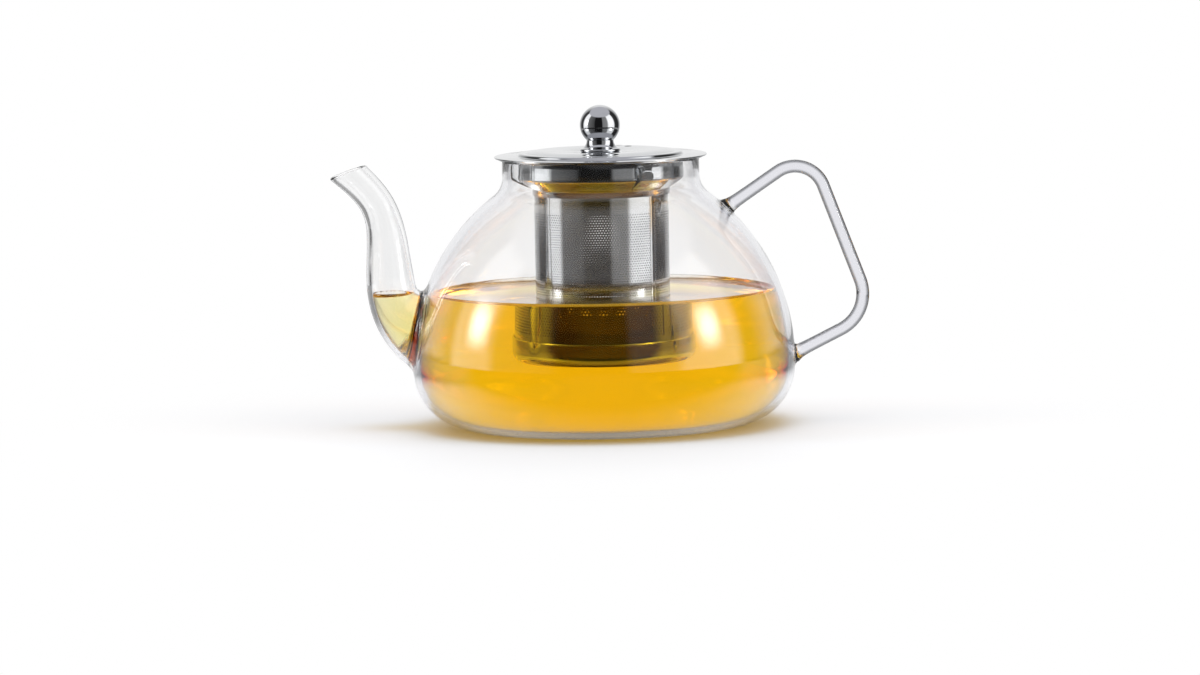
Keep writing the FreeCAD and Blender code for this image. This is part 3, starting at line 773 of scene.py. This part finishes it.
sieve_steel = Finish("punched_satin_steel")
lines = ringed(sieve_steel, 1800.0, 3.0)
smear = sieve_steel.between(sieve_steel.noise(70.0, 4.0), 0.4, 0.75)
x, y, z = sieve_steel.parts(sieve_steel.place)
from_seam = ((x - SIEVE_RADIUS * MM * math.cos(SEAM_TURN)) ** 2
             + (y - SIEVE_RADIUS * MM * math.sin(SEAM_TURN)) ** 2) ** 0.5
beside = from_seam + 0.0016 * sieve_steel.noise(420.0, 2.0)
weld_heat = sieve_steel.between(beside, *(width * MM for width in HEAT_WIDTH))
height = z + 0.006 * sieve_steel.noise(160.0, 2.0)
weld_heat = weld_heat * sieve_steel.between(height, *(up * MM for up in HEAT_HEIGHT))
bare = sieve_steel.blend(smear, (0.6, 0.61, 0.62, 1.0), (0.53, 0.54, 0.55, 1.0))
sieve_steel.done(Surface=sieve_steel.node("ShaderNodeBsdfPrincipled", sockets={
    "Base Color": sieve_steel.blend(weld_heat * 0.75, bare, (0.62, 0.4, 0.16, 1.0)),
    "Metallic": 1.0,
    "Roughness": 0.06 + 0.03 * lines + 0.04 * smear,
    "Normal": sieve_steel.bump(lines, 0.08, 0.00002),
}))
half_pitches = even_turns(2 * HOLE_COLUMNS)
sieve_inside = SIEVE_RADIUS - SIEVE_SHEET
upper_band = [(SIEVE_RADIUS, HOLES_TOP), (SIEVE_RADIUS, SIEVE_TOP),
              (sieve_inside, SIEVE_TOP), (sieve_inside, HOLES_TOP)]
lower_band = [(sieve_inside, HOLES_LOW), (sieve_inside, SIEVE_LOW),
              (SIEVE_RADIUS, SIEVE_LOW), (SIEVE_RADIUS, HOLES_LOW)]
cut = [(sieve_inside, HOLES_MIDDLE), (SIEVE_RADIUS, HOLES_MIDDLE)]
for name, low, seam_top, band, cut_edge in (
    ("sieve_upper", HOLES_MIDDLE, SIEVE_TOP - SEAM_SHORT, upper_band, cut),
    ("sieve_lower", HOLES_LOW, HOLES_MIDDLE, lower_band, cut[::-1]),
):
    plain = meshed("plain", turned(band, half_pitches), turned(cut_edge, half_pitches))
    half = joined(name, punched(low, sieve_steel), plain)
    half = joined(name, half, meshed("seam", seam_strip(low, seam_top)))
    show(name, half, sieve_steel, "infuser", "sieve_steel", "infuser_sieve", crease=40)


# Infuser base: a shallow cup pressed from steel sheet, with a plain floor that closes the tube.
# It is pushed over the tube's lower end, on the band that has no holes.
CUP_RADIUS, CUP_BORE = 26.55, 25.95
CUP_LOW, CUP_FLOOR, CUP_TOP = 25.0, 25.6, 32.5
base_cup = [(0, CUP_LOW), (12.0, CUP_LOW)]
base_cup += rounded([
    (23.0, CUP_LOW, 0.0),
    (CUP_RADIUS, CUP_LOW, 3.0),
    (CUP_RADIUS, CUP_TOP, 0.2),
    (CUP_BORE, CUP_TOP, 0.2),
    (CUP_BORE, CUP_FLOOR, 2.4),
    (23.0, CUP_FLOOR, 0.0),
], 8)
base_cup += [(12.0, CUP_FLOOR), (0, CUP_FLOOR)]
base_mesh = meshed("base_cup", turned(base_cup, even_turns(160)))
show("base_cup", base_mesh, drawn_steel, "infuser", "drawn_steel", "infuser_base", crease=40)


# Lid cover: a disc pressed from steel sheet, with a flat flange that lies on the infuser's flange,
# a step, and a low crown that dips to the knob. Three vents are punched behind the knob.
LID_SHEET, LID_RADIUS, LID_STEP = 0.6, 41.0, 1.2
LID_LOW = RIM_HEIGHT + COLLAR_SHEET
RIDGE_RADIUS, CROWN_RISE, CROWN_RUN, DISH_RUN = 23.5, 0.8, 5.7, 14.5
SCREW_HOLE = 2.1
VENT_RADIUS, VENT_SPREAD, VENT_PLACE = 1.4, 3.9, (10.8, 21.0)


def crown(top, steps):
    """The crown's arc, level at its ridge and falling to the shelf outside and the dish inside."""
    climb = (CROWN_RUN**2 + CROWN_RISE**2) / (2 * CROWN_RISE)
    fall = (DISH_RUN**2 + CROWN_RISE**2) / (2 * CROWN_RISE)
    outer = math.degrees(math.asin(CROWN_RUN / climb))
    inner = math.degrees(math.asin(DISH_RUN / fall))
    dish = arc((RIDGE_RADIUS, top - fall), fall, 90, 90 + inner, steps)
    return arc((RIDGE_RADIUS, top - climb), climb, 90 - outer, 90, steps) + dish[1:]


lid_top = LID_LOW + LID_SHEET
shelf_top = lid_top + LID_STEP
crown_top = shelf_top + CROWN_RISE
dish_top = crown_top - CROWN_RISE
lid_outside = rounded([
    (36.0, LID_LOW, 0.0),
    (LID_RADIUS, LID_LOW, 0.25),
    (LID_RADIUS, lid_top, 0.25),
    (32.0, lid_top, 0.7),
    (31.4, shelf_top, 0.9),
    (29.3, shelf_top, 0.0),
], 6)
lid_inside = rounded([
    (29.3, shelf_top - LID_SHEET, 0.0),
    (30.8, shelf_top - LID_SHEET, 0.3),
    (31.4, LID_LOW, 0.9),
    (36.0, LID_LOW, 0.0),
], 6)
lid_outline = lid_outside + crown(crown_top, 16)
lid_outline += [(SCREW_HOLE, dish_top), (SCREW_HOLE, dish_top - LID_SHEET)]
lid_outline += crown(crown_top - LID_SHEET, 16)[::-1] + lid_inside[:-1]
lid_mesh = meshed("lid_disc", turned(lid_outline, even_turns(200), closed=True))
for turn in (30, 150, 270):
    out = VENT_PLACE[0] + VENT_SPREAD * math.cos(math.radians(turn))
    aside = VENT_PLACE[1] + VENT_SPREAD * math.sin(math.radians(turn))
    vent = [(out + VENT_RADIUS * math.cos(a), aside + VENT_RADIUS * math.sin(a)) for a in even_turns(28)]
    punch = [[(x, y, up) for x, y in vent] for up in (LID_LOW, crown_top + 1)]
    lid_mesh = carved(lid_mesh, meshed("punch", lofted(punch)), "DIFFERENCE")
show("lid_disc", lid_mesh, drawn_steel, "lid", "drawn_steel", "lid_cover", crease=30)


# Lid skirt: a hoop of steel strip, spot-welded under the cover's shelf.
# It drops into the infuser's collar and keeps the lid centred there.
SKIRT_BORE, SKIRT_RADIUS = 30.2, 30.8
SKIRT_LOW, SKIRT_TOP = 97.22, 105.02
SKIRT_OUTLINE = [
    (SKIRT_BORE, SKIRT_LOW, 0.2),
    (SKIRT_RADIUS, SKIRT_LOW, 0.2),
    (SKIRT_RADIUS, SKIRT_TOP, 0.0),
    (SKIRT_BORE, SKIRT_TOP, 0.0),
]
skirt_mesh = meshed("lid_hoop", turned(rounded(SKIRT_OUTLINE), even_turns(160), closed=True))
show("lid_hoop", skirt_mesh, drawn_steel, "lid", "drawn_steel", "lid_skirt", crease=40)


# Knob: a ball on a flared foot, both turned from steel bar and polished like a mirror.
# The foot stands in the dish of the lid, and its top is hollowed to seat the ball.
BALL_RADIUS, BALL_HEIGHT = 7.75, 115.92
FOOT_RADIUS, FOOT_BEAD = 7.1, 0.7
WAIST_RADIUS, WAIST_HOLLOW = 5.2, 3.4
SCREW_DEPTH = 5.0


def ball_under(out):
    """The height of the ball's underside at a distance from the axis."""
    return BALL_HEIGHT - math.sqrt(BALL_RADIUS**2 - out**2)


def hollow_curve(start, end, radius, steps):
    """An arc between two points of an outline that bows towards the axis."""
    start, end = Vector(start), Vector(end)
    chord = end - start
    side = Vector((chord.y, -chord.x)).normalized() * math.sqrt(radius**2 - chord.length_squared / 4)
    centre = (start + end) / 2 + side
    first, last = (math.degrees(math.atan2(p.y - centre.y, p.x - centre.x)) for p in (start, end))
    return arc(centre, radius, first % 360, last % 360, steps)


polished_steel = Finish("mirror_polished_steel")
scratches = polished_steel.noise(700.0, 3.0, distortion=3.0)
finger_marks = polished_steel.between(polished_steel.noise(190.0, 3.0), 0.5, 0.8)
polished_steel.done(Surface=polished_steel.node("ShaderNodeBsdfPrincipled", sockets={
    "Base Color": polished_steel.blend(finger_marks, (0.7, 0.71, 0.73, 1.0), (0.64, 0.65, 0.66, 1.0)),
    "Metallic": 1.0,
    "Roughness": 0.035 + 0.03 * scratches + 0.05 * finger_marks,
    "Normal": polished_steel.bump(scratches, 0.03, 0.00001),
}))
foot = [(SCREW_HOLE, dish_top)] + arc((FOOT_RADIUS, dish_top + FOOT_BEAD), FOOT_BEAD, -90, 90, 10)
bead_top = (FOOT_RADIUS, dish_top + 2 * FOOT_BEAD)
foot += hollow_curve(bead_top, (WAIST_RADIUS, ball_under(WAIST_RADIUS)), WAIST_HOLLOW, 12)[1:]
foot += [(out, ball_under(out)) for out in (4.2, 3.2, SCREW_HOLE)]
foot_mesh = meshed("knob_seat", turned(foot, even_turns(96), closed=True))
show("knob_seat", foot_mesh, polished_steel, "lid", "polished_steel", "knob_foot", crease=40)
low_turn = math.degrees(math.acos(SCREW_HOLE / BALL_RADIUS))
ball = arc((0, BALL_HEIGHT), BALL_RADIUS, -low_turn, 89, 48) + [(0, BALL_HEIGHT + BALL_RADIUS)]
screw_end = ball_under(SCREW_HOLE) + SCREW_DEPTH
ball = [(0, screw_end), (SCREW_HOLE, screw_end)] + ball
ball_mesh = meshed("knob_sphere", turned(ball, even_turns(96)))
show("knob_sphere", ball_mesh, polished_steel, "lid", "polished_steel", "knob_ball", crease=40)


# Knob fixing: a steel washer and a cross-slotted screw, which hold the knob from inside the lid.
# The screw goes up through the cover and the foot into the ball.
WASHER_RADIUS, WASHER_SHEET = 5.0, 0.8
HEAD_HEIGHT, SHANK_RADIUS = 2.4, 2.0
END_RADIUS, END_CHAMFER, END_ROOM = 1.6, 0.4, 0.1
SLOT_HALF_SIZE, SLOT_DEPTH = (2.1, 0.45), 1.1
washer_top = dish_top - LID_SHEET
washer_low = washer_top - WASHER_SHEET
head_low = washer_low - HEAD_HEIGHT
washer = rounded([
    (SCREW_HOLE, washer_low, 0.0),
    (WASHER_RADIUS, washer_low, 0.2),
    (WASHER_RADIUS, washer_top, 0.2),
    (SCREW_HOLE, washer_top, 0.0),
])
washer_mesh = meshed("fixing_washer", turned(washer, even_turns(64), closed=True))
show("fixing_washer", washer_mesh, drawn_steel, "lid", "drawn_steel", "knob_washer", crease=40)
screw = [(0, head_low), (1.6, head_low)]
screw += rounded([
    (3.0, head_low, 0.0),
    (3.55, head_low, 0.5),
    (3.6, washer_low, 0.15),
    (SHANK_RADIUS, washer_low, 0.0),
])
shank_end = screw_end - END_ROOM
screw += [(SHANK_RADIUS, shank_end - END_CHAMFER), (END_RADIUS, shank_end), (0, shank_end)]
screw_mesh = meshed("fixing_screw", turned(screw, even_turns(48)))
for long, wide in (SLOT_HALF_SIZE, SLOT_HALF_SIZE[::-1]):
    slot = [[(long, wide, up), (-long, wide, up), (-long, -wide, up), (long, -wide, up)]
            for up in (head_low - 1, head_low + SLOT_DEPTH)]
    screw_mesh = carved(screw_mesh, meshed("slot", lofted(slot)), "DIFFERENCE")
show("fixing_screw", screw_mesh, drawn_steel, "lid", "drawn_steel", "knob_screw", crease=30)


# Studio: a white table that fades into white, a large soft lamp above and one at each side.
# The room is white behind the pot and dark in front of it, with paler cards, which draws the edges
# of the glass and the steel.
TABLE_RADIUS, TABLE_DROP = 600.0, 0.2
LAMP_AIM = Vector((0, 0, 0.06))
# distances in metres over which the table fades into white and changes to its front and its sides
TABLE_FADE, TABLE_FRONT = (0.085, 0.24), (-0.01, -0.085)
TABLE_SIDES, TABLE_FAR_SIDES = (0.07, 0.18), (0.3, 0.5)
ROOM_CARDS = [
    # brightness of the room by degrees round from the camera's side, left to right
    (-180, 1.0), (-170, 1.0), (-160, 0.8), (-142, 0.45), (-132, 0.08), (-118, 0.05),
    (-110, 0.1), (-104, 1.4), (-78, 1.4), (-70, 0.2), (-34, 0.09), (-28, 0.012),
    (13, 0.012), (18, 0.27), (44, 0.33), (52, 1.5), (88, 1.5), (96, 0.05),
    (122, 0.03), (134, 0.08), (142, 0.45), (160, 0.8), (170, 1.0), (180, 1.0),
]
table_mesh = meshed("table", turned([(TABLE_RADIUS, 0), (180, 0), (90, 0), (0, 0)], even_turns(96)))
table_mesh.transform(Matrix.Translation((0, 0, -TABLE_DROP * MM)))
white_table = Finish("white_table")
x, y = white_table.parts(white_table.place)[:2]
grain = white_table.noise(240.0, 3.0)
faded = white_table.between((x * x + y * y) ** 0.5, *TABLE_FADE)
beside = white_table.between((x * x) ** 0.5, *TABLE_FAR_SIDES)
# Straight on and through the glass the table is white. Steel mirrors it dimmer at the sides
# and dark in front.
direct = white_table.node("ShaderNodeLightPath", output="Is Camera Ray")
through = white_table.node("ShaderNodeLightPath", output="Is Transmission Ray")
mirrored = white_table.node("ShaderNodeLightPath", output="Glossy Depth")
mirrored = white_table.between(mirrored, 0.0, 1.0)
in_front = white_table.between(y, *TABLE_FRONT)
off_side = white_table.between((x * x) ** 0.5, *TABLE_SIDES)
glow = direct + through * (1 - mirrored) * (1.0 - 0.7 * beside)
glow = glow + mirrored * (0.9 - 0.6 * off_side) * (1 - 0.95 * in_front)
lit = white_table.node("ShaderNodeBsdfPrincipled", sockets={
    "Base Color": white_table.blend(grain, (0.93, 0.93, 0.93, 1.0), (0.95, 0.95, 0.95, 1.0)),
    "Roughness": 0.6,
    "Specular IOR Level": 0.2,
})
white = white_table.node("ShaderNodeEmission", sockets={"Color": glow, "Strength": 1.0})
share = faded + (1 - faded) * mirrored * in_front
white_table.done(Surface=white_table.mixed(share, lit, white))
table = bpy.data.objects.new("table", table_mesh)
bpy.context.scene.collection.objects.link(table)
table_mesh.materials.append(white_table.material)


def soft_lamp(name, turn, height, distance, wide, tall, brightness):
    """A lamp, brightest in its middle, turned round from the camera's side and aimed at the pot."""
    lamp = bpy.data.lights.new(name, "AREA")
    lamp.shape = "RECTANGLE"
    lamp.size, lamp.size_y = wide, tall
    lamp.energy = brightness * math.pi * wide * tall
    lamp.use_nodes = True
    glow = Tree(lamp.node_tree)
    glow.nodes.nodes.clear()
    u, v, _ = glow.parts(glow.node("ShaderNodeNewGeometry", output="Parametric"))
    dome = 16 * u * (1 - u) * v * (1 - v)
    glow.node("ShaderNodeOutputLight", sockets={
        "Surface": glow.node("ShaderNodeEmission", sockets={"Color": dome * dome, "Strength": 1.0}),
    })
    stand = bpy.data.objects.new(name, lamp)
    angle = math.radians(turn)
    stand.location = (distance * math.sin(angle), -distance * math.cos(angle), height)
    aim = LAMP_AIM - stand.location
    stand.rotation_euler = aim.to_track_quat("-Z", "Y").to_euler()
    stand.visible_camera = False
    bpy.context.scene.collection.objects.link(stand)
    return stand


soft_lamp("lamp_left", turn=-84, height=0.38, distance=1.2, wide=0.5, tall=0.6, brightness=9.0)
soft_lamp("lamp_right", turn=68, height=0.38, distance=1.2, wide=0.5, tall=0.6, brightness=9.0)
above = soft_lamp("lamp_above", turn=10, height=1.5, distance=0.15, wide=1.4, tall=1.4, brightness=7.5)
above.visible_glossy = above.visible_transmission = False

# heights and depths of a look, as shares of its length, over which the room changes
BACK_RISE, BACK_DEPTH = (-0.07, -0.01), (0.2, 0.6)
UNDER_TABLE, CEILING = (-0.11, -0.14), (0.7, 0.78)
room = bpy.data.worlds.new("white_room")
room.use_nodes = True
bpy.context.scene.world = room
walls = Tree(room.node_tree)
walls.nodes.nodes.clear()
x, y, z = walls.parts(walls.node("ShaderNodeTexCoord", output="Generated"))
turn = walls.node("ShaderNodeMath", {"operation": "ARCTAN2"}, {0: x, 1: 0 - y})
cards = [(0.5 + degrees / 360, (light, light, light)) for degrees, light in ROOM_CARDS]
sides = walls.node("ShaderNodeValToRGB", {"stops": cards}, {"Fac": turn / math.tau + 0.5})
# Seen through the glass, the room is also white at the back and below the table's edge.
through = walls.node("ShaderNodeLightPath", output="Is Transmission Ray")
raised = walls.between(z, *BACK_RISE) * walls.between(y, *BACK_DEPTH) * through
mirrored = walls.between(walls.node("ShaderNodeLightPath", output="Glossy Depth"), 0.0, 1.0)
lowered = walls.between(z, *UNDER_TABLE) * through * (1 - mirrored)
sides = walls.blend(raised + lowered, sides, (1.0, 1.0, 1.0, 1.0))
sides = walls.blend(walls.between(z, *CEILING), sides, (0.62, 0.62, 0.66, 1.0))
around = walls.node("ShaderNodeBackground", sockets={"Color": sides, "Strength": 0.9 + 0.1 * through})
seen = walls.node("ShaderNodeBackground", sockets={"Color": (1.0, 1.0, 1.0, 1.0), "Strength": 1.0})
straight = walls.node("ShaderNodeLightPath", output="Is Camera Ray")
walls.node("ShaderNodeOutputWorld", sockets={"Surface": walls.mixed(straight, around, seen)})


# Camera: a long lens in front of the pot and a little above it, far enough away to flatten it.
# It is rolled by about a degree.
CAMERA_PLACE, CAMERA_AIM = Vector((-0.0015, -2.588, 0.287)), Vector((-0.0015, 0.0, 0.0337))
CAMERA_ROLL = math.radians(-1.1)
lens = bpy.data.cameras.new("camera")
lens.lens, lens.sensor_width = 202.0, 36.0
camera = bpy.data.objects.new("camera", lens)
facing = (CAMERA_AIM - CAMERA_PLACE).to_track_quat("-Z", "Y").to_matrix()
rolled = facing @ Matrix.Rotation(CAMERA_ROLL, 3, "Z")
camera.matrix_world = Matrix.Translation(CAMERA_PLACE) @ rolled.to_4x4()
bpy.context.scene.collection.objects.link(camera)
bpy.context.scene.camera = camera

scene = bpy.context.scene
scene.view_settings.view_transform = "Standard"
scene.cycles.max_bounces = 28
scene.cycles.transmission_bounces = 24
scene.cycles.glossy_bounces = 12
scene.cycles.transparent_max_bounces = 24
scene.cycles.caustics_reflective = False
scene.cycles.caustics_refractive = False
